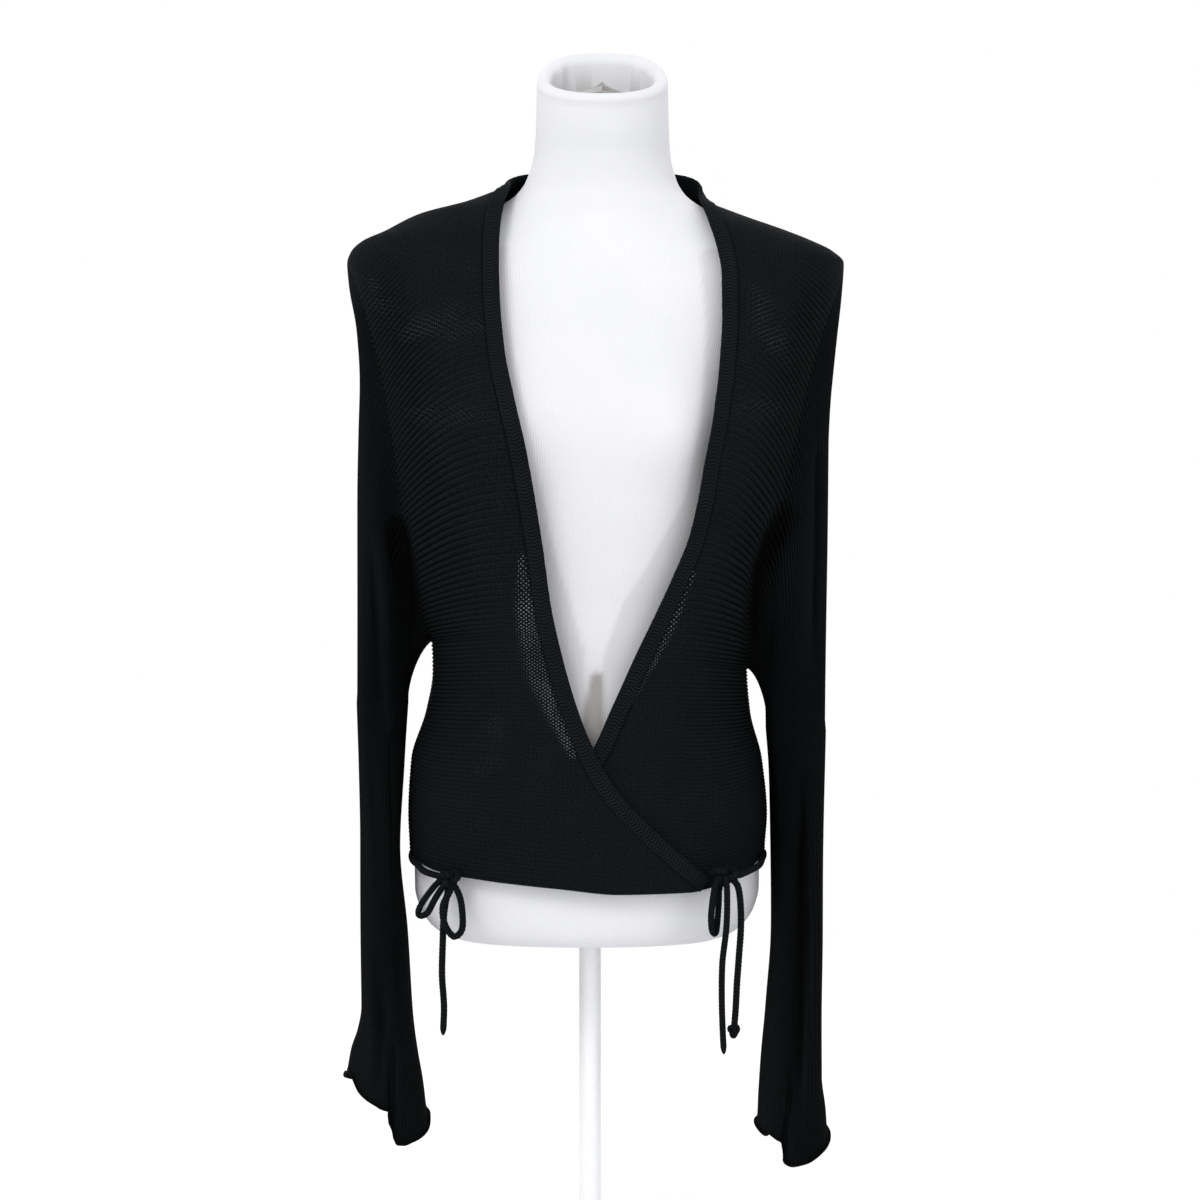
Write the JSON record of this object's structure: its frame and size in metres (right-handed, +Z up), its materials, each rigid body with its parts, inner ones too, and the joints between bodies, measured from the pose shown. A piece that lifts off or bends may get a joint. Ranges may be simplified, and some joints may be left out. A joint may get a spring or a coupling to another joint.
{
  "type": "wrap cardigan on a limbless dress form",
  "caption": "Cropped knitted wrap cardigan with a V neck, long bell sleeves and tie cords at the hem, worn by a limbless dress form on a pole and a round base.",
  "frame": {"origin": "centre of the round base's underside", "axes": "+Z up, -Y out of the cardigan's front, +X towards the wearer's left"},
  "size_m": [0.4152, 0.28, 1.0281],
  "materials": {
    "knit": "matt fine-gauge knit",
    "jersey": "matt white jersey",
    "paint": "smooth white paint"
  },
  "bodies": {
    "root": {"front_right": "knit", "front_left": "knit", "back": "knit", "sleeve_right": "knit", "sleeve_left": "knit", "neckband_right": "knit", "neckband_back": "knit", "neckband_left": "knit", "tie_run_right": "knit", "tie_loop_right_outer": "knit", "tie_loop_right_inner": "knit", "tie_end_right": "knit", "tie_knot_right": "knit", "tie_run_left": "knit", "tie_loop_left": "knit", "tie_end_left_inner": "knit", "tie_end_left_outer": "knit", "tie_knot_left": "knit", "dress_form": "jersey", "stand_pole": "paint", "stand_base": "paint"}
  },
  "joints": []
}
